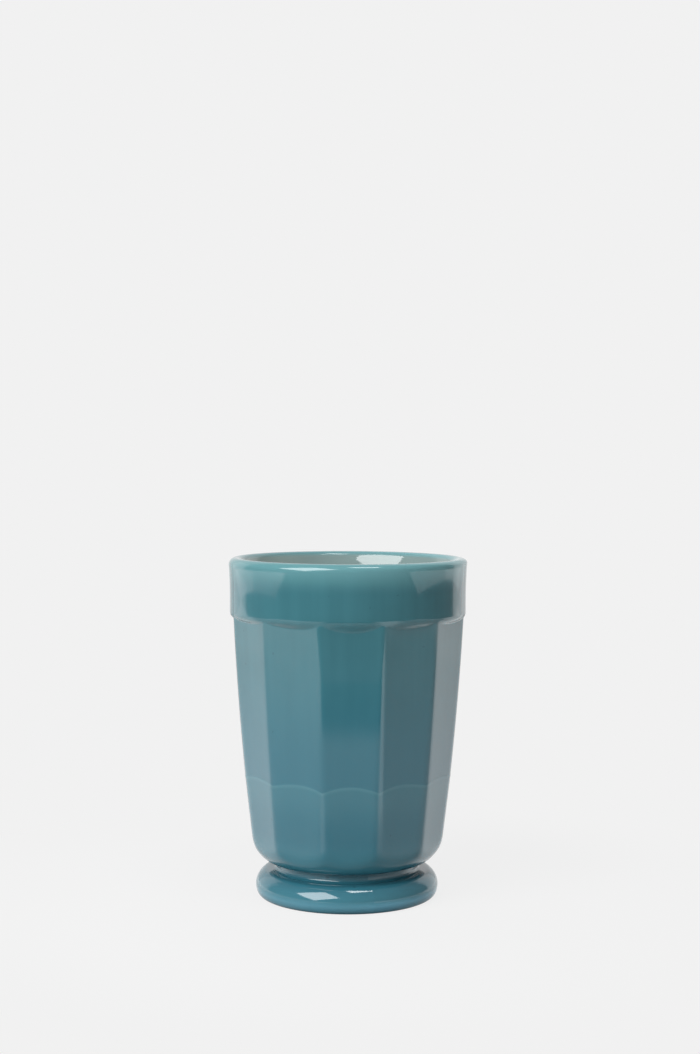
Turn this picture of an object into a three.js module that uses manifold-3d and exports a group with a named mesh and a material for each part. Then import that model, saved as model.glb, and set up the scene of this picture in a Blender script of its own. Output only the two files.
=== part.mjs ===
// Pressed milk glass tumbler: a plain rim band over a ring of flat panels, a rounded bowl and a spreading foot.
// Millimetres, +Z up. The origin is the centre of the standing face, and one panel faces -Y.
// The real tumbler is one pressing. It is parted here where its forms meet, on flat faces that touch.
import * as THREE from 'three';
import { mergeVertices } from 'three/addons/utils/BufferGeometryUtils.js';
import Module from 'manifold-3d';

// Rim band and lip
const height = 113.7;
const rimRadius = 40; // widest place of the lip
const lipWidth = 4.6;
const lipOuterRise = 2.2; // height of the lip's outer rounding
const lipInnerRise = 1.7; // height of the lip's inner rounding
const lipFlare = 0.4; // how far the lip stands out past the straight band
const flareHeight = 7.5; // the stretch of band over which it opens to the lip
const bandHeight = 17.35; // from the crest of the lip to the band's lower edge

// Rounded underside of the band, which the panels run up into
const shoulderHeight = 4.1;
const shoulderDepth = 2.6;

// Panelled wall
const panelCount = 12;
const panelBottom = 40.5; // height where the panels turn in to the bowl
const panelBottomRadius = 35.36; // at the corners between panels
const cornerSetback = 0.05; // how far the corners stay inside the band at their top
const panelTopDrop = 0.6; // how far the panels end below the band's lower edge, inside the shoulder
const wallBow = 0.35; // how far the wall swells past a straight taper

// Bowl
const waistHeight = 11.95; // underside of the bowl
const undersideReach = 1; // how far the underside runs flat from the neck before it rounds up
const bowlCornerRadius = 32; // where the panels' corners would reach the height of the waist
const bowlClearance = 0.3; // how far the round bowl starts outside the corners

// Foot
const neckRadius = 23.8;
const neckHeight = 2.2;
const footRadius = 30.7;
const footWidestHeight = 3.6;
const footEdge = 2.2; // how far the foot draws in from its widest place to its standing face
const standWidth = 6.5; // width of the standing face
const recessDepth = 2.2; // hollow under the foot

// Inside of the cup
const lowerWall = 4.8; // wall thickness at the bottom of the panels
const floorThickness = 7.65; // from the waist to the inner floor
const floorRounding = 9;

// Fineness
const roundSegments = 48;
const arcSteps = 5;
const bowlSteps = 9;
const bowSteps = 6;
const overrun = 1; // how far a cutting form runs past the piece that it cuts

// Sizes that follow from the ones above
const bandBottom = height - bandHeight;
const bandRadius = rimRadius - lipFlare;
const crestRadius = rimRadius - lipWidth / 2;
const lipBottom = height - lipOuterRise;
const mouthRadius = rimRadius - lipWidth;
const mouthHeight = height - lipInnerRise;
const panelTop = bandBottom - panelTopDrop;
const panelTopRadius = bandRadius - cornerSetback;
const panelDepth = panelBottomRadius * Math.cos(Math.PI / panelCount); // axis to the middle of a panel, at its foot
const cavityBottomRadius = panelDepth - lowerWall;
const cavityTaper = (mouthRadius - cavityBottomRadius) / (mouthHeight - panelBottom);
const floorHeight = waistHeight + floorThickness;
const bowlRadius = panelBottomRadius + bowlClearance;
const undersideRadius = neckRadius + undersideReach;
const bowlCornerTaper = (panelBottomRadius - bowlCornerRadius) / (panelBottom - waistHeight);
const footTop = waistHeight - neckHeight;
const standRadius = footRadius - footEdge;
const recessRadius = standRadius - standWidth;

const milkGlass = new THREE.MeshStandardMaterial({ color: '#437d8a', roughness: 0.12, metalness: 0 });
const wasm = await Module();
wasm.setup();

// A point of a profile: distance from the axis and height.
const at = (radius, z) => new THREE.Vector2(radius, z);

// Profile points on part of an ellipse, with its angles in quarter turns: 0 points outwards and 1 points up.
function arc(centre, across, up, from, to, steps = arcSteps) {
  const quarter = Math.PI / 2;
  const curve = new THREE.EllipseCurve(centre.x, centre.y, across, up, from * quarter, to * quarter, to < from);
  return curve.getPoints(steps);
}

// Turns a profile about +Z. A few segments make flat panels, and the start angle makes one of them face -Y.
function turned(profile, segments = roundSegments) {
  const start = segments === panelCount ? Math.PI / panelCount : 0;
  return new THREE.LatheGeometry(profile, segments, start).rotateX(Math.PI / 2);
}

function solid(geometry) {
  const bare = geometry.clone();
  bare.deleteAttribute('normal');
  bare.deleteAttribute('uv');
  const merged = mergeVertices(bare);
  const corners = merged.index.array;
  const triangles = [];
  for (let i = 0; i < corners.length; i += 3) {
    const [a, b, c] = corners.slice(i, i + 3);
    if (a !== b && b !== c && c !== a) triangles.push(a, b, c);
  }
  const vertProperties = new Float32Array(merged.attributes.position.array);
  const triVerts = new Uint32Array(triangles);
  return new wasm.Manifold(new wasm.Mesh({ numProp: 3, vertProperties, triVerts }));
}

function geometryOf(form) {
  const { vertProperties, triVerts } = form.getMesh();
  const geometry = new THREE.BufferGeometry();
  geometry.setAttribute('position', new THREE.BufferAttribute(vertProperties, 3));
  geometry.setIndex(new THREE.BufferAttribute(triVerts, 1));
  geometry.computeVertexNormals();
  return geometry;
}

const cavityRadiusAt = (z) => mouthRadius - cavityTaper * (mouthHeight - z);
const bowlCornerRadiusAt = (z) => panelBottomRadius - bowlCornerTaper * (panelBottom - z);

// The space inside the cup, from its rounded floor to above the band.
function cavity() {
  const roundingTop = floorHeight + floorRounding;
  const floorRadius = cavityRadiusAt(roundingTop) - floorRounding;
  return solid(turned([
    at(0, floorHeight),
    ...arc(at(floorRadius, roundingTop), floorRounding, floorRounding, -1, 0),
    at(cavityRadiusAt(height), height),
    at(0, height),
  ]));
}

function rimBand() {
  return turned([
    at(cavityRadiusAt(bandBottom), bandBottom),
    at(bandRadius, bandBottom),
    at(bandRadius, lipBottom - flareHeight),
    ...arc(at(crestRadius, lipBottom), lipWidth / 2, lipOuterRise, 0, 1),
    ...arc(at(crestRadius, mouthHeight), lipWidth / 2, lipInnerRise, 1, 2).slice(1),
    at(cavityRadiusAt(bandBottom), bandBottom),
  ]);
}

function panelledWall() {
  const bottom = at(panelBottomRadius, panelBottom);
  const top = at(panelTopRadius, panelTop);
  const swell = bottom.clone().add(top).multiplyScalar(0.5);
  swell.x += 2 * wallBow;
  const corner = new THREE.QuadraticBezierCurve(bottom, swell, top).getPoints(bowSteps);
  const panels = solid(turned([at(0, panelBottom), ...corner, at(0, panelTop)], panelCount));
  const shoulderStart = at(bandRadius - shoulderDepth, bandBottom);
  const shoulder = solid(turned([
    at(0, bandBottom - shoulderHeight),
    ...arc(shoulderStart, shoulderDepth, shoulderHeight, -1, 0),
    at(0, bandBottom),
  ]));
  return geometryOf(panels.add(shoulder).subtract(cavity()));
}

function bowlBase() {
  const low = waistHeight - overrun;
  const high = panelBottom + overrun;
  const bowlHeight = panelBottom - waistHeight;
  const panels = solid(turned([
    at(0, low),
    at(bowlCornerRadiusAt(low), low),
    at(bowlCornerRadiusAt(high), high),
    at(0, high),
  ], panelCount));
  const bowl = solid(turned([
    at(0, waistHeight),
    ...arc(at(undersideRadius, panelBottom), bowlRadius - undersideRadius, bowlHeight, -1, 0, bowlSteps),
    at(0, panelBottom),
  ]));
  return geometryOf(bowl.intersect(panels).subtract(cavity()));
}

function foot() {
  return turned([
    ...arc(at(0, 0), recessRadius, recessDepth, 1, 0),
    ...arc(at(standRadius, footWidestHeight), footEdge, footWidestHeight, -1, 0),
    ...arc(at(neckRadius, footWidestHeight), footRadius - neckRadius, footTop - footWidestHeight, 0, 1).slice(1),
    at(neckRadius, waistHeight),
    at(0, waistHeight),
  ]);
}

const pieces = {
  rim_band: rimBand,
  panelled_wall: panelledWall,
  bowl_base: bowlBase,
  foot,
};
const tumbler = new THREE.Group();
for (const [name, shape] of Object.entries(pieces)) {
  const mesh = new THREE.Mesh(shape(), milkGlass);
  mesh.name = name;
  tumbler.add(mesh);
}

export default tumbler;
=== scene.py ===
"""Looks of a pressed milk glass tumbler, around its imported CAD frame. Metres, +Z up, one panel faces -Y."""
import math

import bpy
import numpy as np
from mathutils import Matrix, Quaternion, Vector


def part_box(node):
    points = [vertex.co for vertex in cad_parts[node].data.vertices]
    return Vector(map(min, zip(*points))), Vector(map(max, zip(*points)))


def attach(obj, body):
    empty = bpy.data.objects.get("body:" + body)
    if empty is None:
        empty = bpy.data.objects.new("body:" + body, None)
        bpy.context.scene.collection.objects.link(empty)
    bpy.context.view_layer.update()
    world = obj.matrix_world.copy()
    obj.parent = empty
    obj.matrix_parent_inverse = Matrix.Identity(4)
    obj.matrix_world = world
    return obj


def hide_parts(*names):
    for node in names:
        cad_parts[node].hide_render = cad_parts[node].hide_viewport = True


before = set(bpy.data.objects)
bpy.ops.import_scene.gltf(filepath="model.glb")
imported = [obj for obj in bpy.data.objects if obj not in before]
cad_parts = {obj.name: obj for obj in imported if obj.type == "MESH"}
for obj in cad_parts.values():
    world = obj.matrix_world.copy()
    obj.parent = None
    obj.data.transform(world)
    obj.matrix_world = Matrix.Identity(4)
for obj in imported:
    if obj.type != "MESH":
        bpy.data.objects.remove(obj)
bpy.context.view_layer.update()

MM = 0.001

# Sizes that the frame gives
RIM_LOW, RIM_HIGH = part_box("rim_band")
WALL_LOW, WALL_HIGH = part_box("panelled_wall")
BOWL_LOW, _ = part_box("bowl_base")
_, FOOT_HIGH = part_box("foot")
HEIGHT = RIM_HIGH.z
RIM_RADIUS = RIM_HIGH.x
BAND_RADIUS = WALL_HIGH.x
BAND_BOTTOM = RIM_LOW.z
PANEL_BOTTOM = WALL_LOW.z
PANEL_BOTTOM_DEPTH = -BOWL_LOW.y  # axis to the middle of the panel that faces -Y
WAIST = BOWL_LOW.z
FOOT_RADIUS = FOOT_HIGH.x

# Rim band and lip
LIP_WIDTH = 4.6 * MM
LIP_OUTER_RISE = 1.9 * MM
LIP_UNEVEN = 0.5 * MM  # the fire-polished lip slumps this much further on its left and less on its right
LIP_INNER_RISE = 1.7 * MM
LIP_INNER_END = 170  # degrees, where the lip's inner rounding meets the flare of the mouth
FLARE_HEIGHT = 10.5 * MM  # the stretch of band over which it opens to the lip
MOUTH_FLARE = 0.5 * MM  # how far the inside opens up to the lip past its taper
MOUTH_FLARE_HEIGHT = 6.0 * MM

# Rounded underside of the band. Side values hold on the panels that face -X and +X.
SHOULDER_HEIGHT = 4.1 * MM
SHOULDER_SIDE_HEIGHT = 2.87 * MM
SHOULDER_DEPTH = 2.1 * MM
SHOULDER_CURVE = 2.2  # greater for a shoulder that keeps closer to the band before it draws in
SHOULDER_SIDE_CURVE = 3.8
SHOULDER_FILLET = 1.2 * MM  # between the shoulder and the middle of a panel
SHOULDER_CORNER_FILLET = 0.2 * MM  # between the shoulder and a corner
SHOULDER_SIDE_SOFTNESS = 1.5  # how many times wider the fillets are at the sides
SHOULDER_FOCUS = 8  # greater for a narrower stretch that has the form of the front

# Panels
PANELS = 12
PANEL_STEP = 2 * math.pi / PANELS
HALF_PANEL = PANEL_STEP / 2
CORNER_SETBACK = 0.05 * MM  # how far the corners stay inside the band at their top
PANEL_TOP_DROP = 0.6 * MM  # how far the panels end below the band's lower edge
WALL_BOW = 0.35 * MM  # how far the wall swells past a straight taper
CORNER_BLEND_TOP = 0.45 * MM  # how widely the corners are rounded at the band
CORNER_BLEND_LOW = 1.4 * MM  # and at the waist
PANEL_HOLLOW = 0.12 * MM  # how far a panel's middle dips below flat

# Faint arcs where the panels turn in
ARC_TOP = 42.4 * MM
ARC_RISE = 2.1 * MM  # above the corners of the panels that face -Y and +Y
ARC_SIDE_RISE = 0.735 * MM  # above the corners of the panels that face -X and +X
ARC_FOCUS = 4
ARC_SOFTNESS = 0.25 * MM
ARC_STEP = 0.045 * MM  # how far the glass stands out below an arc
ARC_STEP_WIDTH = 0.13 * MM

# Bowl
UNDERSIDE_REACH = 1.0 * MM  # how far the underside runs from the neck before it rounds up
BOWL_CORNER_RADIUS = 32.0 * MM  # where the panels' corners would reach the height of the waist
BOWL_CLEARANCE = 0.3 * MM  # how far the round bowl starts outside the corners
BOWL_CURVE = 2.15  # 2 for an ellipse, greater for a squarer bowl
BOWL_BLEND = 1.4 * MM
CORNERS_END = 2.0 * MM  # above the waist, where the panels' corners have faded out
CORNERS_FADE = 8.0 * MM  # the stretch above that over which they fade

# Foot
NECK_RADIUS = 23.8 * MM
NECK_HEIGHT = 2.2 * MM
NECK_FILLET = 1.1 * MM
GROOVE_FLAT = 0.11 * MM  # flat bottom of the groove round the neck
LEDGE_HEIGHT = 8.9 * MM  # height of that bottom
CREASE_FILLET = 0.3 * MM
FOOT_WIDEST = 3.6 * MM
FOOT_TOP_END = 52  # degrees, where the foot's rounding gives way to the ledge round the groove
FOOT_EDGE = 2.2 * MM  # how far the foot draws in from its widest place to its standing face
STAND_WIDTH = 6.5 * MM
RECESS_DEPTH = 2.2 * MM

# Mould seams, which run down two opposite corners and show on the bowl's underside and the foot
SEAM_AZIMUTHS = (HALF_PANEL, HALF_PANEL + math.pi)
SEAM_RIDGE = 0.06 * MM
SEAM_WIDTH = math.radians(0.9)
SEAM_TOP = 22.0 * MM

# Inside
LOWER_WALL = 4.8 * MM  # wall thickness at the bottom of the panels
FLOOR_THICKNESS = 7.65 * MM
FLOOR_ROUNDING = 9.0 * MM

# Fineness of the meshes
COLUMNS_PER_PANEL = 20
FINE_STEP = 0.12 * MM
COARSE_STEP = 1.3 * MM
MEDIUM_STEP = COARSE_STEP / 3
INNER_STEP = 2 * COARSE_STEP
FINE_MARGIN = 1.0 * MM  # how far the fine rows run past the arcs and the shoulder
FINE_MARGIN_LOW = 1.2 * MM  # how far they run below the arcs
ROUNDING_ROWS = 14
FOOT_TOP_ROWS = 24
LEDGE_ROWS = 12
CREASE_ROWS = 6
BOWL_ROWS = 44
FLARE_ROWS = 12
LIP_ROWS = 18
LIP_INNER_ROWS = 16
FLOOR_ROWS = 18

# Sizes that follow from the ones above
CREST_RADIUS = RIM_RADIUS - LIP_WIDTH / 2
MOUTH_RADIUS = RIM_RADIUS - LIP_WIDTH
MOUTH_HEIGHT = HEIGHT - LIP_INNER_RISE
PANEL_TOP = BAND_BOTTOM - PANEL_TOP_DROP
PANEL_TOP_RADIUS = BAND_RADIUS - CORNER_SETBACK
PANEL_BOTTOM_RADIUS = PANEL_BOTTOM_DEPTH / math.cos(HALF_PANEL)
BOWL_HEIGHT = PANEL_BOTTOM - WAIST
BOWL_RADIUS = PANEL_BOTTOM_RADIUS + BOWL_CLEARANCE
UNDERSIDE_RADIUS = NECK_RADIUS + UNDERSIDE_REACH
FOOT_TOP = WAIST - NECK_HEIGHT
STAND_RADIUS = FOOT_RADIUS - FOOT_EDGE
RECESS_RADIUS = STAND_RADIUS - STAND_WIDTH
FLOOR_HEIGHT = WAIST + FLOOR_THICKNESS
CAVITY_LOW_RADIUS = PANEL_BOTTOM_DEPTH - LOWER_WALL
CAVITY_TAPER = (MOUTH_RADIUS - MOUTH_FLARE - CAVITY_LOW_RADIUS) / (MOUTH_HEIGHT - PANEL_BOTTOM)


def column_azimuths():
    """Azimuths of the mesh's columns, from -Y towards +X, closer together at the panels' corners."""
    across = np.linspace(-1, 1, COLUMNS_PER_PANEL, endpoint=False)
    within = HALF_PANEL * (across + np.sin(across * np.pi / 2)) / 2
    middles = np.arange(PANELS) * PANEL_STEP
    return (middles[:, None] + within).ravel()


AZIMUTHS = column_azimuths()
OFF_MIDDLE = np.abs((AZIMUTHS + HALF_PANEL) % PANEL_STEP - HALF_PANEL)
PANEL_SHARE = OFF_MIDDLE / HALF_PANEL  # 0 at a panel's middle and 1 at its corners


def smooth_min(a, b, blend):
    """The lesser of a and b, rounded where they differ by less than blend."""
    near = np.maximum(blend - np.abs(a - b), 0) / blend
    return np.minimum(a, b) - near * near * blend / 4


def smooth_max(a, b, blend):
    return -smooth_min(-a, -b, blend)


def from_sides(side, front, focus):
    """Goes from side, on the panels that face -X and +X, to front, on those that face -Y and +Y."""
    return side + (front - side) * np.cos(AZIMUTHS) ** focus


def ellipse(centre, across, up, start, end, steps):
    """Points (radius, height) on part of an ellipse. Angles are in degrees: 0 points outwards and 90 up."""
    turn = np.radians(np.linspace(start, end, steps + 1))
    return np.column_stack([centre[0] + across * np.cos(turn), centre[1] + up * np.sin(turn)])


def around(points):
    """Profile points as rows of the skin, the same at every azimuth: row, column, (radius, height)."""
    return np.repeat(np.asarray(points)[:, None, :], len(AZIMUTHS), axis=1)


def levels(low, high, step):
    return np.linspace(low, high, max(2, math.ceil((high - low) / step) + 1))


def cavity_radius(z):
    below = MOUTH_HEIGHT - z
    flare = np.maximum(1 - below / MOUTH_FLARE_HEIGHT, 0) ** 2
    return MOUTH_RADIUS - CAVITY_TAPER * below - MOUTH_FLARE * (1 - flare)


def corner_radius(z):
    """Radius of the sharp corners between panels, before they are rounded."""
    up = (z - PANEL_BOTTOM) / (PANEL_TOP - PANEL_BOTTOM)
    straight = PANEL_BOTTOM_RADIUS + (PANEL_TOP_RADIUS - PANEL_BOTTOM_RADIUS) * up
    return straight + 4 * WALL_BOW * up * (1 - up)


def wall_taper():
    """How fast the wall draws in at the foot of the panels."""
    run = PANEL_TOP - PANEL_BOTTOM
    return (PANEL_TOP_RADIUS - PANEL_BOTTOM_RADIUS + 4 * WALL_BOW) / run


def corner_blend(z):
    """How widely the corners between panels are rounded at the heights z."""
    up = np.clip((z - WAIST) / (BAND_BOTTOM - WAIST), 0, 1)
    return CORNER_BLEND_LOW + (CORNER_BLEND_TOP - CORNER_BLEND_LOW) * up


def ring_of_panels(corner, blend):
    """Radius at all azimuths of slightly hollow panels. Before rounding, their corners are at corner."""
    depth = corner * math.cos(HALF_PANEL)
    own = depth / np.cos(OFF_MIDDLE) - PANEL_HOLLOW * (1 - PANEL_SHARE**2)
    next_panel = depth / np.cos(PANEL_STEP - OFF_MIDDLE) + PANEL_HOLLOW * (PANEL_SHARE - 1) * 2
    return smooth_min(own, next_panel, blend)


def panel_radius(z):
    """Outer radius at the heights z and all azimuths: panels with rounded corners and the faint arcs."""
    z = np.asarray(z)[:, None]
    lower_taper = (PANEL_BOTTOM_RADIUS - BOWL_CORNER_RADIUS) / BOWL_HEIGHT
    below = np.minimum(z - PANEL_BOTTOM, 0)
    corner = corner_radius(np.maximum(z, PANEL_BOTTOM)) + wall_taper() * below
    arc = ARC_TOP - from_sides(ARC_SIDE_RISE, ARC_RISE, ARC_FOCUS) * PANEL_SHARE**2
    under_arc = (arc - z) / ARC_SOFTNESS
    corner = corner - (lower_taper - wall_taper()) * ARC_SOFTNESS * np.logaddexp(0, under_arc)
    corner = corner + ARC_STEP * (1 + np.tanh((arc - z) / (2 * ARC_STEP_WIDTH))) / 2
    return ring_of_panels(corner, corner_blend(z))


def paired(radius, z):
    """Rows of the skin from radii and heights, either of which may be the same at every azimuth."""
    shape = (len(radius), len(AZIMUTHS))
    return np.stack([np.broadcast_to(radius, shape), np.broadcast_to(z, shape)], axis=2)


def seamed(rows):
    """Adds the mould seams' low ridges to the outside, fading out up the bowl."""
    ridge = sum(np.exp(-((AZIMUTHS - seam) / SEAM_WIDTH) ** 2) for seam in SEAM_AZIMUTHS)
    share = np.clip(2 * (SEAM_TOP - rows[..., 1]) / SEAM_TOP, 0, 1) * (rows[..., 1] > 0)
    rows[..., 0] += SEAM_RIDGE * ridge * share
    return rows


def ledge(top, groove):
    """Carries on the line of the foot's top, and runs level into the groove."""
    slope = (top[-1] - top[-2]) / (top[-1, 1] - top[-2, 1])
    bend = top[-1] + slope * (LEDGE_HEIGHT - top[-1, 1])
    along = np.linspace(0, 1, LEDGE_ROWS + 1)[1:-1, None]
    return (1 - along) ** 2 * top[-1] + 2 * along * (1 - along) * bend + along**2 * groove


def foot_rows():
    recess = ellipse((0, 0), RECESS_RADIUS, RECESS_DEPTH, 90, 0, ROUNDING_ROWS)[1:]
    stand = [(RECESS_RADIUS + STAND_WIDTH / 2, 0)]
    edge = ellipse((STAND_RADIUS, FOOT_WIDEST), FOOT_EDGE, FOOT_WIDEST, -90, 0, ROUNDING_ROWS)
    spread, rise = FOOT_RADIUS - NECK_RADIUS, FOOT_TOP - FOOT_WIDEST
    top = ellipse((NECK_RADIUS, FOOT_WIDEST), spread, rise, 0, FOOT_TOP_END, FOOT_TOP_ROWS)[1:]
    groove = np.array([NECK_RADIUS + NECK_FILLET + GROOVE_FLAT, LEDGE_HEIGHT])
    neck_centre = (NECK_RADIUS + NECK_FILLET, LEDGE_HEIGHT + NECK_FILLET)
    neck = ellipse(neck_centre, NECK_FILLET, NECK_FILLET, 270, 180, ROUNDING_ROWS)
    crease_centre = (NECK_RADIUS + CREASE_FILLET, WAIST - CREASE_FILLET)
    crease = ellipse(crease_centre, CREASE_FILLET, CREASE_FILLET, 180, 90, CREASE_ROWS)
    return around(np.concatenate([recess, stand, edge, top, ledge(top, groove), neck, crease]))


def bowl_heights():
    """Heights of the bowl's rows: closer together where it turns under, and fine at the arcs."""
    turn = np.radians(np.linspace(-90, 0, BOWL_ROWS + 1))
    heights = PANEL_BOTTOM + BOWL_HEIGHT * np.sin(turn)
    fine_start = ARC_TOP - ARC_RISE - FINE_MARGIN_LOW
    low = heights[heights < fine_start - MEDIUM_STEP]
    return np.concatenate([low, levels(fine_start, PANEL_BOTTOM, FINE_STEP)])


def bowl_rows():
    """A squarish bowl that cuts the panels. Their corners run on down it and fade out above the waist."""
    flat = [(NECK_RADIUS + CREASE_FILLET, WAIST)]
    z = bowl_heights()
    drop = np.clip((PANEL_BOTTOM - z) / BOWL_HEIGHT, 0, 1)
    reach = (1 - drop**BOWL_CURVE) ** (1 / BOWL_CURVE)
    bowl = UNDERSIDE_RADIUS + (BOWL_RADIUS - UNDERSIDE_RADIUS) * reach
    cut = smooth_min(bowl[:, None], panel_radius(z), BOWL_BLEND)
    middle = cut[:, [OFF_MIDDLE.argmin()]]
    corner = (middle + PANEL_HOLLOW) / math.cos(HALF_PANEL)
    proud = np.maximum(ring_of_panels(corner, corner_blend(z[:, None])) - cut, 0)
    above = np.clip((z[:, None] - WAIST - CORNERS_END) / CORNERS_FADE, 0, 1)
    radius = cut + proud * above**2 * (3 - 2 * above)
    return np.concatenate([around(flat), paired(radius, z[:, None])])


def shoulder_radius(z):
    """Radius of the band's rounded underside, which is shorter and squarer at the sides."""
    height = from_sides(SHOULDER_SIDE_HEIGHT, SHOULDER_HEIGHT, SHOULDER_FOCUS)
    curve = from_sides(SHOULDER_SIDE_CURVE, SHOULDER_CURVE, SHOULDER_FOCUS)
    drop = np.maximum(BAND_BOTTOM - z, 0)[:, None] / height
    return BAND_RADIUS - SHOULDER_DEPTH * drop**curve


def wall_rows():
    fine_end = ARC_TOP + FINE_MARGIN
    shoulder_start = BAND_BOTTOM - SHOULDER_HEIGHT - FINE_MARGIN
    z = np.concatenate([
        levels(PANEL_BOTTOM, fine_end, FINE_STEP),
        levels(fine_end, shoulder_start, COARSE_STEP)[1:],
        levels(shoulder_start, BAND_BOTTOM, FINE_STEP)[1:],
    ])
    fillet = SHOULDER_FILLET + (SHOULDER_CORNER_FILLET - SHOULDER_FILLET) * PANEL_SHARE**2
    fillet = fillet * from_sides(SHOULDER_SIDE_SOFTNESS, 1, SHOULDER_FOCUS)
    radius = smooth_max(panel_radius(z), shoulder_radius(z), fillet)
    radius = np.minimum(radius, BAND_RADIUS)
    radius[-1] = BAND_RADIUS
    return paired(radius, z[:, None])


def inner_band_points():
    """Profile of the band's inside, from the crest of the lip down."""
    crest = (CREST_RADIUS, MOUTH_HEIGHT)
    lip = ellipse(crest, LIP_WIDTH / 2, LIP_INNER_RISE, 90, LIP_INNER_END, LIP_INNER_ROWS)[1:]
    flare_start = MOUTH_HEIGHT - MOUTH_FLARE_HEIGHT
    z = np.concatenate([
        levels(flare_start, MOUTH_HEIGHT, MEDIUM_STEP)[-2::-1],
        levels(BAND_BOTTOM, flare_start, COARSE_STEP)[-2::-1],
    ])
    return np.concatenate([lip, np.column_stack([cavity_radius(z), z])])


def band_rows():
    """The band flares gently up to the lip, whose outer rounding is as tall as lip_rise at each azimuth."""
    lip_rise = LIP_OUTER_RISE - LIP_UNEVEN * np.sin(AZIMUTHS)
    straight = HEIGHT - LIP_OUTER_RISE - LIP_UNEVEN - FLARE_HEIGHT
    low = levels(BAND_BOTTOM, straight, COARSE_STEP)
    up = np.linspace(0, 1, FLARE_ROWS + 1)[1:, None]
    flare_z = straight + (HEIGHT - lip_rise - straight) * up
    flare = BAND_RADIUS + (RIM_RADIUS - BAND_RADIUS) * up * up
    turn = np.radians(np.linspace(0, 90, LIP_ROWS + 1))[1:, None]
    outer_radius = CREST_RADIUS + LIP_WIDTH / 2 * np.cos(turn)
    outer_z = HEIGHT - lip_rise + lip_rise * np.sin(turn)
    return np.concatenate([
        around(np.column_stack([np.full(len(low), BAND_RADIUS), low])),
        paired(flare, flare_z),
        paired(outer_radius, outer_z),
        around(inner_band_points()),
    ])


def inner_wall_rows():
    z = levels(PANEL_BOTTOM, BAND_BOTTOM, INNER_STEP)[::-1]
    return around(np.column_stack([cavity_radius(z), z]))


def inner_bowl_rows():
    rounding_top = FLOOR_HEIGHT + FLOOR_ROUNDING
    floor_radius = cavity_radius(rounding_top) - FLOOR_ROUNDING
    z = levels(rounding_top, PANEL_BOTTOM, INNER_STEP)[:0:-1]
    wall = np.column_stack([cavity_radius(z), z])
    rounding = ellipse((floor_radius, rounding_top), FLOOR_ROUNDING, FLOOR_ROUNDING, 0, -90, FLOOR_ROWS)
    radii = levels(0, floor_radius, INNER_STEP)[-2:0:-1]
    floor = np.column_stack([radii, np.full(len(radii), FLOOR_HEIGHT)])
    return around(np.concatenate([wall, rounding, floor]))


def points_of(rows):
    """Rows of (radius, height) as points in the frame."""
    radius, z = rows[..., 0], rows[..., 1]
    return np.stack([radius * np.sin(AZIMUTHS), -radius * np.cos(AZIMUTHS), z], axis=2)


def tangents(before, here, after):
    """Direction through three neighbouring points, in which the closer neighbour counts for more."""
    back, ahead = here - before, after - here
    back_length = np.linalg.norm(back, axis=2, keepdims=True)
    ahead_length = np.linalg.norm(ahead, axis=2, keepdims=True)
    return back * ahead_length / back_length + ahead * back_length / ahead_length


def skin_normals(points):
    """Outward normals of the whole skin, from its underside over the lip to its inner floor."""
    along = tangents(np.roll(points, 1, axis=1), points, np.roll(points, -1, axis=1))
    padded = np.concatenate([2 * points[:1] - points[1:2], points, 2 * points[-1:] - points[-2:-1]])
    up = tangents(padded[:-2], padded[1:-1], padded[2:])
    normal = np.cross(along, up)
    return normal / np.linalg.norm(normal, axis=2, keepdims=True)


def whole_skin(sections):
    """Points and normals of each section. Sections share a row, so shading runs on across partings."""
    rows = [points_of(section) for section in sections]
    joined = np.concatenate([rows[0]] + [section[1:] for section in rows[1:]])
    normals = skin_normals(joined)
    parts, start = [], 0
    for section in rows:
        end = start + len(section)
        parts.append((section, normals[start:end]))
        start = end - 1
    return parts


UP = (0.0, 0.0, 1.0)
DOWN = (0.0, 0.0, -1.0)


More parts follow.
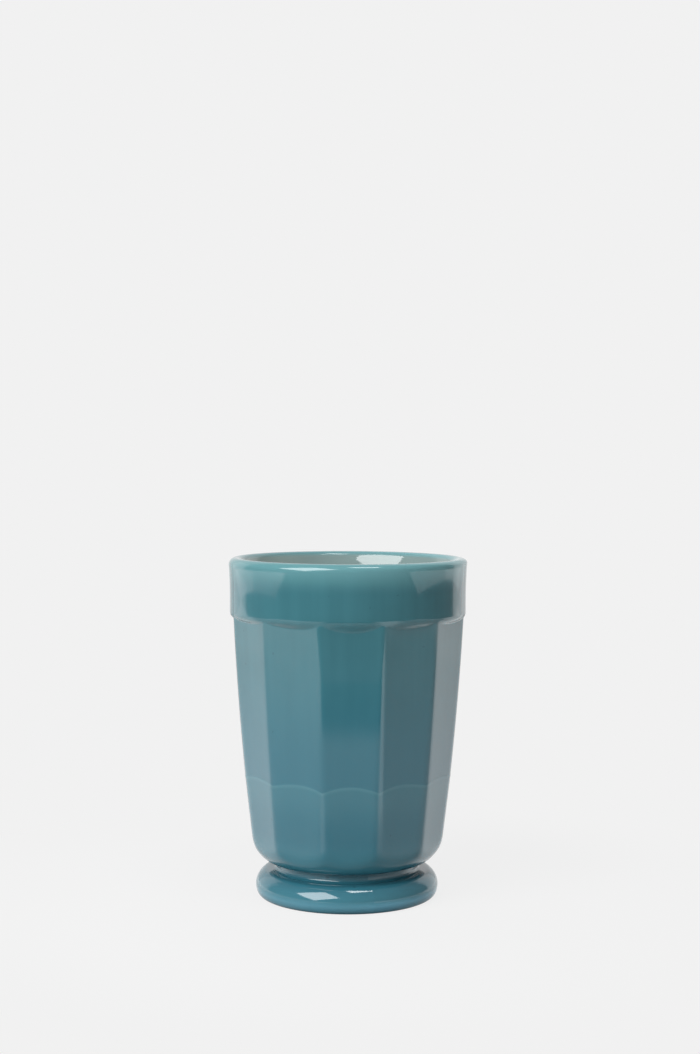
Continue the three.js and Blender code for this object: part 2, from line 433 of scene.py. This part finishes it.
class Shell:
    """Gathers the rings of one closed piece. Flat faces close the partings between its stretches."""

    def __init__(self):
        self.points, self.faces, self.normals = [], [], []
        self.first_pole, self.first_ring, self.last_ring = None, None, None

    def _ring(self, ring):
        start = len(self.points)
        self.points.extend(map(tuple, ring))
        return np.arange(start, start + len(ring))

    def _face(self, corners, normals):
        self.faces.append([int(c) for c in corners])
        self.normals.extend(tuple(n) for n in normals)

    def _fan(self, ring, centre, normal):
        """Flat triangles between a ring and a point on the axis."""
        for a, b in zip(ring, np.roll(ring, -1)):
            self._face((a, b, centre), [normal] * 3)

    def _between(self, ring, low_normals, high_normals):
        low = self.last_ring
        for i in range(len(ring)):
            j = (i + 1) % len(ring)
            corners = (low[i], low[j], ring[j], ring[i])
            self._face(corners, (low_normals[i], low_normals[j], high_normals[j], high_normals[i]))

    def _flat(self, ring, normal):
        """A flat face from the last ring to this one."""
        normals = [normal] * len(ring)
        self._between(ring, normals, normals)

    def pole(self, z, normal):
        """A point on the axis: closes the last ring, or starts the piece."""
        centre = len(self.points)
        self.points.append((0.0, 0.0, float(z)))
        if self.last_ring is None:
            self.first_pole = (centre, normal)
        else:
            self._fan(self.last_ring, centre, normal)
        return self

    def stretch(self, skin):
        """A stretch of skin. A flat face that looks up joins it to a stretch before it."""
        points, normals = skin
        ring = self._ring(points[0])
        if self.last_ring is not None:
            self._flat(ring, UP)
        else:
            self.first_ring = ring
            if self.first_pole is not None:
                self._fan(ring[::-1], *self.first_pole)
        self.last_ring = ring
        for row in range(1, len(points)):
            ring = self._ring(points[row])
            self._between(ring, normals[row - 1], normals[row])
            self.last_ring = ring
        return self

    def closed(self):
        """Joins the last ring to the first with a flat face that looks down."""
        self._flat(self.first_ring, DOWN)
        return self

    def piece(self, name, node, material):
        mesh = bpy.data.meshes.new(name)
        mesh.from_pydata(self.points, [], self.faces)
        mesh.polygons.foreach_set("use_smooth", [True] * len(mesh.polygons))
        mesh.normals_split_custom_set(self.normals)
        mesh.materials.append(material)
        made = bpy.data.objects.new(name, mesh)
        bpy.context.scene.collection.objects.link(made)
        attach(made, "root")
        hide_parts(node)


def node_of(tree, kind, **values):
    made = tree.nodes.new(kind)
    for name, value in values.items():
        setattr(made, name, value)
    return made


def axes_of(tree, place):
    axes = node_of(tree, "ShaderNodeSeparateXYZ")
    tree.links.new(place, axes.inputs[0])
    return axes.outputs["X"], axes.outputs["Y"], axes.outputs["Z"]


def length_of(tree, vector):
    length = node_of(tree, "ShaderNodeVectorMath", operation="LENGTH")
    tree.links.new(vector, length.inputs[0])
    return length.outputs["Value"]


def mapped(tree, value, start, end, low, high):
    """Runs smoothly from low to high while value runs from start to end."""
    step = node_of(tree, "ShaderNodeMapRange", interpolation_type="SMOOTHSTEP")
    for name, number in zip(("From Min", "From Max", "To Min", "To Max"), (start, end, low, high)):
        step.inputs[name].default_value = number
    tree.links.new(value, step.inputs["Value"])
    return step.outputs[0]


def calculated(tree, operation, a, b=0):
    step = node_of(tree, "ShaderNodeMath", operation=operation)
    for value, socket in zip((a, b), step.inputs):
        if isinstance(value, (int, float)):
            socket.default_value = value
        else:
            tree.links.new(value, socket)
    return step.outputs[0]


def product(tree, first, *others):
    for value in others:
        first = calculated(tree, "MULTIPLY", first, value)
    return first


def azimuth_of(tree, x, y):
    """Azimuth of the shaded point, from -Y towards +X."""
    return calculated(tree, "ARCTAN2", x, calculated(tree, "MULTIPLY", y, -1))


def noise(tree, place, scale, detail, stretch=(1, 1, 1)):
    """Soft noise from 0 to 1, finer along an axis whose stretch is greater."""
    axes = node_of(tree, "ShaderNodeMapping")
    axes.inputs["Scale"].default_value = stretch
    tree.links.new(place, axes.inputs["Vector"])
    made = node_of(tree, "ShaderNodeTexNoise")
    made.inputs["Scale"].default_value = scale
    made.inputs["Detail"].default_value = detail
    tree.links.new(axes.outputs[0], made.inputs["Vector"])
    return made.outputs["Fac"]


def blended(tree, share, first, second):
    """Goes from the first colour to the second. Either may be the output of another node."""
    mix = node_of(tree, "ShaderNodeMix", data_type="RGBA")
    tree.links.new(share, mix.inputs["Factor"])
    sockets = [socket for socket in mix.inputs if socket.type == "RGBA"]
    for socket, colour in zip(sockets, (first, second)):
        if isinstance(colour, tuple):
            socket.default_value = colour
        else:
            tree.links.new(colour, socket)
    return next(socket for socket in mix.outputs if socket.type == "RGBA")


# Colours of the glass, and of the light painted on it
TEAL_DEEP = (0.028, 0.124, 0.150, 1)
TEAL_LIGHT = (0.034, 0.142, 0.171, 1)
# painted bounce light: bluer down the wall, from the table below
PAINTED_LIGHT_LOW_BLUE = (0.027, 0.132, 0.182, 1)
# painted light inside the mouth, paler and greyer towards the rim; paler still on the left, which lies in
# shade
PAINTED_INSIDE_LIGHT_LEFT = (0.310, 0.410, 0.390, 1)
PAINTED_INSIDE_LIGHT = (0.205, 0.288, 0.283, 1)
# painted light on the lip, stronger on its right, which lies in shade
PAINTED_LIP_LIGHT_LEFT = (0.095, 0.245, 0.265, 1)
PAINTED_LIP_LIGHT_RIGHT = (0.130, 0.320, 0.345, 1)
# painted bounce light on the foot, from the table below
PAINTED_LIGHT_FOOT_BLUE = (0.042, 0.172, 0.222, 1)
# painted light at the foot's edge, from the table below; paler on the right, which lies in shade
PAINTED_FOOT_EDGE_LIGHT_LEFT = (0.092, 0.270, 0.350, 1)
PAINTED_FOOT_EDGE_LIGHT_RIGHT = (0.145, 0.420, 0.560, 1)
# painted highlight along the faint arcs, and painted light on the glass below them
PAINTED_ARC_HIGHLIGHT = (0.050, 0.172, 0.212, 1)
SPECK = (0.014, 0.060, 0.078, 1)

# Where the colours and the painted light change, from start to end. Mouth and lip: depths below the crest of
# the lip.
PAINTED_MOUTH_LIGHT_DEPTHS = (45 * MM, 12 * MM)
PAINTED_MOUTH_LIGHT_END = (1.8 * MM, 0.3 * MM)
PAINTED_LIP_LIGHT_DEPTHS = (10 * MM, -0.5 * MM)
INSIDE_MARGIN = 0.3 * MM
PAINTED_INSIDE_LIGHT_LEFT_EDGE = (-0.75 * MOUTH_RADIUS, -0.3 * MOUTH_RADIUS)
PAINTED_LIGHT_LOW_SHARE = 0.8
# painted reflection of the foot's blue on the low bowl
PAINTED_BOWL_REFLECTION = (WAIST + 13 * MM, WAIST + 3 * MM)
PAINTED_BOWL_REFLECTION_SHARE = 0.9
PAINTED_BOWL_REFLECTION_END = (WAIST - 0.3 * MM, WAIST + 1.5 * MM)
# heights and sideways places of the painted light at the foot's edge
PAINTED_FOOT_EDGE_LIGHT_HEIGHTS = (1.3 * FOOT_WIDEST, 0.7 * FOOT_WIDEST)
PAINTED_FOOT_EDGE_LIGHT_TURN = (-0.15 * FOOT_RADIUS, 0.65 * FOOT_RADIUS)

# The painted highlight along the arcs and the paler painted light below them, by depth below an arc
ARC_HIGHLIGHT_EDGE = (-0.1 * MM, 0.4 * MM)
ARC_HIGHLIGHT_FADE = (0.5 * MM, 1.6 * MM)
ARC_HIGHLIGHT_REST = 0.45
ARC_HIGHLIGHT_END = (2 * MM, 14 * MM)

# Clouds and skin of the glass
GLASS_IOR = 1.6
CLOUD_SCALE = 28
CLOUD_WEIGHT = 0.6
STREAK_SCALE = 260
STREAK_STRETCH = (1, 1, 0.04)  # drawn out along the axis
TEAL_RANGE = (0.35, 0.65)  # of the noise, from the deep teal to the light one
SPECK_SCALE = 420
SPECK_RANGE = (0.86, 0.89)
SPECK_STRENGTH = 0.35
SMUDGE_SCALE = 70
SMUDGE_RANGE = (0.3, 0.7)
ROUGHNESS = (0.045, 0.08)
RIPPLE_SCALE = 110
RIPPLE_STRETCH = (1, 1, 0.4)
RIPPLE_STRENGTH = 0.25
RIPPLE_HEIGHT = 0.02 * MM


def inside_share(tree, place, z):
    """1 on the inside of the cup and 0 on its outside, down to the bowl."""
    level = node_of(tree, "ShaderNodeVectorMath", operation="MULTIPLY")
    level.inputs[1].default_value = (1, 1, 0)
    tree.links.new(place, level.inputs[0])
    radius = length_of(tree, level.outputs[0])
    drawn_in = product(tree, calculated(tree, "SUBTRACT", MOUTH_HEIGHT, z), CAVITY_TAPER)
    at_mouth = calculated(tree, "ADD", radius, drawn_in)
    return mapped(tree, at_mouth, MOUTH_RADIUS + INSIDE_MARGIN, CREST_RADIUS, 1, 0)


def painted_arc_highlight(tree, x, y, z, inside):
    """How much painted highlight lies along the faint arcs, with paler painted light below them that fades
    down the bowl.
    """
    turn = azimuth_of(tree, x, y)
    share = calculated(tree, "DIVIDE", calculated(tree, "PINGPONG", turn, HALF_PANEL), HALF_PANEL)
    facing = calculated(tree, "ABSOLUTE", calculated(tree, "COSINE", turn))
    front = product(tree, calculated(tree, "POWER", facing, ARC_FOCUS), ARC_RISE - ARC_SIDE_RISE)
    sag = product(tree, share, share, calculated(tree, "ADD", front, ARC_SIDE_RISE))
    under = calculated(tree, "SUBTRACT", calculated(tree, "SUBTRACT", ARC_TOP, sag), z)
    line = mapped(tree, under, *ARC_HIGHLIGHT_EDGE, 0, 1)
    fade = mapped(tree, under, *ARC_HIGHLIGHT_FADE, 1, ARC_HIGHLIGHT_REST)
    away = mapped(tree, under, *ARC_HIGHLIGHT_END, 1, 0)
    outside = calculated(tree, "SUBTRACT", 1, inside)
    return product(tree, line, fade, away, outside)


def cloudy_teal(tree, place):
    """Faint clouds, and streaks that the pressing drew out along the axis."""
    clouds = product(tree, noise(tree, place, CLOUD_SCALE, 3), CLOUD_WEIGHT)
    streaks = product(tree, noise(tree, place, STREAK_SCALE, 2, STREAK_STRETCH), 1 - CLOUD_WEIGHT)
    both = calculated(tree, "ADD", clouds, streaks)
    return blended(tree, mapped(tree, both, *TEAL_RANGE, 0, 1), TEAL_DEEP, TEAL_LIGHT)


def painted_light_below(tree, colour, x, z):
    """Paints light below: bluer bounce light from the table down the wall and on the foot, a painted
    reflection of the foot's blue on the low bowl, and pale painted light round the foot's edge, strongest on
    its right, which lies in shade.
    """
    # painted bounce light: bluer down the wall
    colour = blended(tree, mapped(tree, z, PANEL_BOTTOM, BAND_BOTTOM, PAINTED_LIGHT_LOW_SHARE, 0), colour, PAINTED_LIGHT_LOW_BLUE)
    # painted reflection of the foot's blue on the low bowl
    low_bowl = mapped(tree, z, *PAINTED_BOWL_REFLECTION, 0, PAINTED_BOWL_REFLECTION_SHARE)
    above_waist = mapped(tree, z, *PAINTED_BOWL_REFLECTION_END, 0, 1)
    colour = blended(tree, product(tree, low_bowl, above_waist), colour, PAINTED_LIGHT_FOOT_BLUE)
    # painted bounce light on the foot
    colour = blended(tree, mapped(tree, z, LEDGE_HEIGHT, FOOT_WIDEST, 0, 1), colour, PAINTED_LIGHT_FOOT_BLUE)
    # painted light at the foot's edge, paler on its shaded right
    edge = blended(tree, mapped(tree, x, *PAINTED_FOOT_EDGE_LIGHT_TURN, 0, 1), PAINTED_FOOT_EDGE_LIGHT_LEFT, PAINTED_FOOT_EDGE_LIGHT_RIGHT)
    return blended(tree, mapped(tree, z, *PAINTED_FOOT_EDGE_LIGHT_HEIGHTS, 0, 1), colour, edge)


def painted_light_mouth(tree, colour, x, z, inside):
    """Paints light along the lip and inside the mouth: paler and greyer towards the rim, and paler still on
    the lip's right and the inside's left, which lie in shade.
    """
    depth = calculated(tree, "SUBTRACT", HEIGHT, z)
    # painted light along the lip, stronger on its right
    lip = blended(tree, mapped(tree, x, -MOUTH_RADIUS, MOUTH_RADIUS, 0, 1), PAINTED_LIP_LIGHT_LEFT, PAINTED_LIP_LIGHT_RIGHT)
    colour = blended(tree, mapped(tree, depth, *PAINTED_LIP_LIGHT_DEPTHS, 0, 1), colour, lip)
    # painted light inside the mouth, under the lip
    mouth = mapped(tree, depth, *PAINTED_MOUTH_LIGHT_DEPTHS, 0, 1)
    under_lip = mapped(tree, depth, *PAINTED_MOUTH_LIGHT_END, 1, 0)
    # painted light inside, paler on the shaded left
    inner = blended(tree, mapped(tree, x, *PAINTED_INSIDE_LIGHT_LEFT_EDGE, 0, 1), PAINTED_INSIDE_LIGHT_LEFT, PAINTED_INSIDE_LIGHT)
    return blended(tree, product(tree, inside, mouth, under_lip), colour, inner)


def polished_skin(tree, place, shader):
    """A fire-polished skin, a little duller in places and barely rippled."""
    smudges = noise(tree, place, SMUDGE_SCALE, 2)
    tree.links.new(mapped(tree, smudges, *SMUDGE_RANGE, *ROUGHNESS), shader.inputs["Roughness"])
    ripples = node_of(tree, "ShaderNodeBump")
    ripples.inputs["Strength"].default_value = RIPPLE_STRENGTH
    ripples.inputs["Distance"].default_value = RIPPLE_HEIGHT
    tree.links.new(noise(tree, place, RIPPLE_SCALE, 1, RIPPLE_STRETCH), ripples.inputs["Height"])
    tree.links.new(ripples.outputs[0], shader.inputs["Normal"])


def milk_glass():
    """Opaque teal glass with faint clouds, pressing streaks and a few specks, and painted light: bounce light
    below, a highlight along the arcs, and a paler lip and mouth.
    """
    material = bpy.data.materials.new("milk_glass")
    material.use_nodes = True
    tree = material.node_tree
    shader = tree.nodes["Principled BSDF"]
    shader.inputs["IOR"].default_value = GLASS_IOR
    place = node_of(tree, "ShaderNodeTexCoord").outputs["Object"]
    x, y, z = axes_of(tree, place)
    inside = inside_share(tree, place, z)
    colour = painted_light_below(tree, cloudy_teal(tree, place), x, z)
    # painted highlight along the arcs
    colour = blended(tree, painted_arc_highlight(tree, x, y, z, inside), colour, PAINTED_ARC_HIGHLIGHT)
    colour = painted_light_mouth(tree, colour, x, z, inside)
    specks = mapped(tree, noise(tree, place, SPECK_SCALE, 0), *SPECK_RANGE, 0, SPECK_STRENGTH)
    colour = blended(tree, specks, colour, SPECK)
    tree.links.new(colour, shader.inputs["Base Color"])
    polished_skin(tree, place, shader)
    return material


def build_tumbler():
    glass = milk_glass()
    outside = (seamed(foot_rows()), seamed(bowl_rows()), wall_rows(), band_rows())
    skin = whole_skin(outside + (inner_wall_rows(), inner_bowl_rows()))
    foot, bowl, wall, band, inner_wall, inner_bowl = skin
    Shell().stretch(band).closed().piece("glass_rim_band", "rim_band", glass)
    Shell().stretch(wall).stretch(inner_wall).closed().piece("glass_panelled_wall", "panelled_wall", glass)
    bowl_shell = Shell().pole(WAIST, DOWN).stretch(bowl).stretch(inner_bowl).pole(FLOOR_HEIGHT, UP)
    bowl_shell.piece("glass_bowl_base", "bowl_base", glass)
    foot_shell = Shell().pole(RECESS_DEPTH, DOWN).stretch(foot).pole(WAIST, UP)
    foot_shell.piece("glass_foot", "foot", glass)


# Camera, from the photo's lines: distance and height, with the aim a little to the right of the axis
CAMERA_DISTANCE = 600 * MM
CAMERA_HEIGHT = 149.4 * MM
CAMERA_AZIMUTH = math.radians(-2)  # from -Y towards +X
CAMERA_PITCH = math.radians(2.436)
CAMERA_ROLL = math.radians(0.213)
CAMERA_AIM_RIGHT = 0.63 * MM
CAMERA_SENSOR = 36  # millimetres, along the taller side of the picture
CAMERA_LENS = 61.12  # millimetres


def make_camera():
    away = Vector((math.sin(CAMERA_AZIMUTH), -math.cos(CAMERA_AZIMUTH), 0))
    place = away * CAMERA_DISTANCE + Vector((0, 0, CAMERA_HEIGHT))
    level_right = Vector((-away.y, away.x, 0))
    aim = level_right * CAMERA_AIM_RIGHT
    aim.z = CAMERA_HEIGHT - CAMERA_DISTANCE * math.tan(CAMERA_PITCH)
    ahead = (aim - place).normalized()
    right = ahead.cross(Vector((0, 0, 1))).normalized()
    up = right.cross(ahead)
    rolled_right = right * math.cos(CAMERA_ROLL) + up * math.sin(CAMERA_ROLL)
    rolled_up = up * math.cos(CAMERA_ROLL) - right * math.sin(CAMERA_ROLL)
    data = bpy.data.cameras.new("camera")
    data.lens = CAMERA_LENS
    data.sensor_width = CAMERA_SENSOR
    camera = bpy.data.objects.new("camera", data)
    bpy.context.scene.collection.objects.link(camera)
    axes = Matrix((rolled_right, rolled_up, -ahead)).transposed()
    camera.matrix_world = Matrix.Translation(place) @ axes.to_4x4()
    bpy.context.scene.camera = camera


# Studio
BACKGROUND = 0.88
STUDIO_GREY = 0.32
BACKDROP_EDGE = 0.5  # how far towards +Y a direction points where the backdrop starts
BACKDROP_BLUR = 0.06
MIDDLE_HEIGHT = 60 * MM  # of the object, at which the lamps aim
TABLE_OUTLINE = ((-0.98, -0.271), (0.88, -0.367), (0.88, 0.75), (-0.98, 0.75))
SHADOW_SHARE = 0.06  # how much of the table's light, as the camera sees it, the object can shade
SHADOW_REACH = 0.16

# Grey of the table to all but the camera, with painted shade far in front and close to the object. Ranges are
# distances from the axis, or azimuths off the front.
TABLE_SHADE = 0.6
# painted shade: the table is darkest far in front
FAR_FRONT_SHADE = 0.12
FAR_FRONT_SPREAD = (0.3, 0.5)
FAR_FRONT_START = (0.18, 0.25)
# painted shade close to the object: at its contact, and a little further out in front and at the sides
CONTACT = (0.0315, 0.034)
CONTACT_SHADE = 0.4
NEAR_FRONT = (0.045, 0.13)
NEAR_SIDES = (0.045, 0.065)
NEAR_SHADE = 0.5
FRONT_EDGE = (0.25, 0.55)

# Glow of the table's sides in reflections. It widens backwards, and leaves a gap right behind the object.
SIDE_SPREAD = 0.27  # how far back the glow starts, for each metre sideways
SIDE_START = (-0.035, -0.005)
GAP_SPREAD = 0.6  # how wide the gap is to each side, for each metre backwards
GAP_EDGE = (-0.02, 0.05)
SIDE_GLOW = (0.64, 0.72)  # at the left and at the right
SIDE_GLOW_TURN = (-0.05, 0.05)
OUTER_GLOW = 0.45
OUTER_START = (0.4, 0.55)

# Glow of its front in reflections: a bright stretch at each side, and a faint rest
BRIGHT_RIGHT = math.radians(36)
BRIGHT_LEFT = math.radians(-26)
BRIGHT_CORE = 0.06  # radians to each side that are fully bright
BRIGHT_RIGHT_EDGE = 0.3
BRIGHT_LEFT_EDGE = 0.25
BRIGHT_RIGHT_START = (0.07, 0.13)
BRIGHT_RIGHT_GLOW = (0.15, 0.9)  # before and after that start
BRIGHT_LEFT_END = (0.125, 0.14)
BRIGHT_LEFT_GLOW = 0.5
BRIGHT_CLEAR = (0.055, 0.08)  # both start this far from the axis
FRONT_REST = (0.3, 0.8)
FRONT_REST_GLOW = 0.2


def placed(azimuth, rise, distance):
    """A place by its azimuth from the camera, rise and distance, seen from the object's middle."""
    turn = CAMERA_AZIMUTH + math.radians(azimuth)
    up = math.radians(rise)
    level = Vector((math.sin(turn), -math.cos(turn), 0)) * math.cos(up)
    return (level + Vector((0, 0, math.sin(up)))) * distance + Vector((0, 0, MIDDLE_HEIGHT))


def softbox(name, place, size, brightness, turn=0):
    """A soft lamp that faces the object, turned about its own axis. Its face is white at brightness 1."""
    data = bpy.data.lights.new(name, "AREA")
    data.shape = "RECTANGLE"
    data.size, data.size_y = size
    data.energy = brightness * size[0] * size[1] * math.pi
    lamp = bpy.data.objects.new(name, data)
    lamp.location = place
    lamp.rotation_mode = "QUATERNION"
    facing = (Vector((0, 0, MIDDLE_HEIGHT)) - place).to_track_quat("-Z", "Y")
    lamp.rotation_quaternion = facing @ Quaternion((0, 0, 1), math.radians(turn))
    lamp.visible_camera = False
    bpy.context.scene.collection.objects.link(lamp)


def make_lamps():
    softbox("key", placed(-40, 28, 0.7), (0.51, 0.51), 6.8, 45)
    softbox("top", placed(28, 69, 0.9), (0.28, 0.22), 10)
    softbox("back_left", placed(-128, 12, 0.9), (0.5, 0.6), 0.32)
    softbox("back_right", placed(136, 12, 0.9), (0.5, 0.6), 0.32)


def added(tree, first, second):
    both = node_of(tree, "ShaderNodeAddShader")
    tree.links.new(first, both.inputs[0])
    tree.links.new(second, both.inputs[1])
    return both.outputs[0]


def mixed(tree, share, first, second):
    both = node_of(tree, "ShaderNodeMixShader")
    tree.links.new(share, both.inputs["Fac"])
    tree.links.new(first, both.inputs[1])
    tree.links.new(second, both.inputs[2])
    return both.outputs[0]


def lit_shade(tree, shade):
    made = node_of(tree, "ShaderNodeBsdfDiffuse")
    if isinstance(shade, (int, float)):
        made.inputs["Color"].default_value = (shade, shade, shade, 1)
    else:
        tree.links.new(shade, made.inputs["Color"])
    return made.outputs[0]


def glowing(tree, strength):
    made = node_of(tree, "ShaderNodeEmission")
    if isinstance(strength, (int, float)):
        made.inputs["Strength"].default_value = strength
    else:
        tree.links.new(strength, made.inputs["Strength"])
    return made.outputs[0]


def seen_table(tree, distance):
    """The table to the camera: even and pale, with a faint shadow round the object."""
    near = added(tree, lit_shade(tree, SHADOW_SHARE), glowing(tree, BACKGROUND - SHADOW_SHARE))
    far = mapped(tree, distance, SHADOW_REACH / 2, SHADOW_REACH, 0, 1)
    return mixed(tree, far, near, glowing(tree, BACKGROUND))


def table_shade(tree, distance, turn):
    """The table's grey to all but the camera, with painted shade: darker far in front, and close to the
    object.
    """
    off_front = calculated(tree, "ABSOLUTE", turn)
    ahead = mapped(tree, off_front, *FAR_FRONT_SPREAD, 1, 0)
    darker = product(tree, ahead, mapped(tree, distance, *FAR_FRONT_START, 0, 1))
    open_shade = mapped(tree, darker, 0, 1, TABLE_SHADE, FAR_FRONT_SHADE)
    contact = mapped(tree, distance, *CONTACT, CONTACT_SHADE, 1)
    before = mapped(tree, distance, *NEAR_FRONT, NEAR_SHADE, 1)
    off_sides = mapped(tree, off_front, *FRONT_EDGE, 0, 1)
    abeam = product(tree, mapped(tree, distance, *NEAR_SIDES, NEAR_SHADE, 1), off_sides)
    return product(tree, open_shade, contact, calculated(tree, "MAXIMUM", before, abeam))


def side_glow(tree, x, y):
    sideways = calculated(tree, "ABSOLUTE", x)
    backwards = calculated(tree, "SUBTRACT", y, product(tree, sideways, SIDE_SPREAD))
    behind = mapped(tree, backwards, *SIDE_START, 0, 1)
    past_gap = calculated(tree, "SUBTRACT", sideways, product(tree, y, GAP_SPREAD))
    beside = mapped(tree, past_gap, *GAP_EDGE, 0, 1)
    level = mapped(tree, x, *SIDE_GLOW_TURN, *SIDE_GLOW)
    outer = mapped(tree, sideways, *OUTER_START, 0, OUTER_GLOW)
    return calculated(tree, "ADD", product(tree, behind, beside, level), outer)


def bright_stretch(tree, turn, azimuth, edge, level):
    off = calculated(tree, "ABSOLUTE", calculated(tree, "SUBTRACT", turn, azimuth))
    return product(tree, mapped(tree, off, BRIGHT_CORE, edge, 1, 0), level)


def front_glow(tree, distance, turn):
    right_level = mapped(tree, distance, *BRIGHT_RIGHT_START, *BRIGHT_RIGHT_GLOW)
    left_level = mapped(tree, distance, *BRIGHT_LEFT_END, BRIGHT_LEFT_GLOW, 0)
    right = bright_stretch(tree, turn, BRIGHT_RIGHT, BRIGHT_RIGHT_EDGE, right_level)
    left = bright_stretch(tree, turn, BRIGHT_LEFT, BRIGHT_LEFT_EDGE, left_level)
    clear = mapped(tree, distance, *BRIGHT_CLEAR, 0, 1)
    bright = product(tree, calculated(tree, "ADD", right, left), clear)
    rest = mapped(tree, calculated(tree, "ABSOLUTE", turn), *FRONT_REST, 0, FRONT_REST_GLOW)
    return calculated(tree, "ADD", bright, rest)


def table_material():
    """A pale table to the camera, and a lit grey one to the rest, with a glow that only reflections see."""
    material = bpy.data.materials.new("table")
    material.use_nodes = True
    tree = material.node_tree
    tree.nodes.clear()
    path = node_of(tree, "ShaderNodeLightPath")
    place = node_of(tree, "ShaderNodeTexCoord").outputs["Object"]
    x, y, _ = axes_of(tree, place)
    distance = length_of(tree, place)
    turn = azimuth_of(tree, x, y)
    glow = calculated(tree, "ADD", side_glow(tree, x, y), front_glow(tree, distance, turn))
    mirrored = product(tree, calculated(tree, "MINIMUM", glow, 1), path.outputs["Is Glossy Ray"])
    grey = lit_shade(tree, table_shade(tree, distance, turn))
    other = added(tree, grey, glowing(tree, mirrored))
    surface = mixed(tree, path.outputs["Is Camera Ray"], other, seen_table(tree, distance))
    out = node_of(tree, "ShaderNodeOutputMaterial")
    tree.links.new(surface, out.inputs["Surface"])
    return material


def make_table():
    mesh = bpy.data.meshes.new("table")
    mesh.from_pydata([(x, y, 0) for x, y in TABLE_OUTLINE], [], [range(len(TABLE_OUTLINE))])
    mesh.materials.append(table_material())
    table = bpy.data.objects.new("table", mesh)
    bpy.context.scene.collection.objects.link(table)


def make_world():
    """Pale to the camera. To everything else it is a dim studio with a pale backdrop behind the object."""
    world = bpy.data.worlds.new("studio")
    world.use_nodes = True
    bpy.context.scene.world = world
    tree = world.node_tree
    background = tree.nodes["Background"]
    path = node_of(tree, "ShaderNodeLightPath")
    _, y, _ = axes_of(tree, node_of(tree, "ShaderNodeTexCoord").outputs["Generated"])
    edge_start, edge_end = BACKDROP_EDGE - BACKDROP_BLUR, BACKDROP_EDGE + BACKDROP_BLUR
    backdrop = mapped(tree, y, edge_start, edge_end, STUDIO_GREY, BACKGROUND)
    level = node_of(tree, "ShaderNodeMix")
    level.inputs["B"].default_value = BACKGROUND
    tree.links.new(path.outputs["Is Camera Ray"], level.inputs["Factor"])
    tree.links.new(backdrop, level.inputs["A"])
    tree.links.new(level.outputs["Result"], background.inputs["Color"])


build_tumbler()
make_camera()
make_table()
make_world()
make_lamps()
bpy.context.scene.view_settings.view_transform = "Standard"
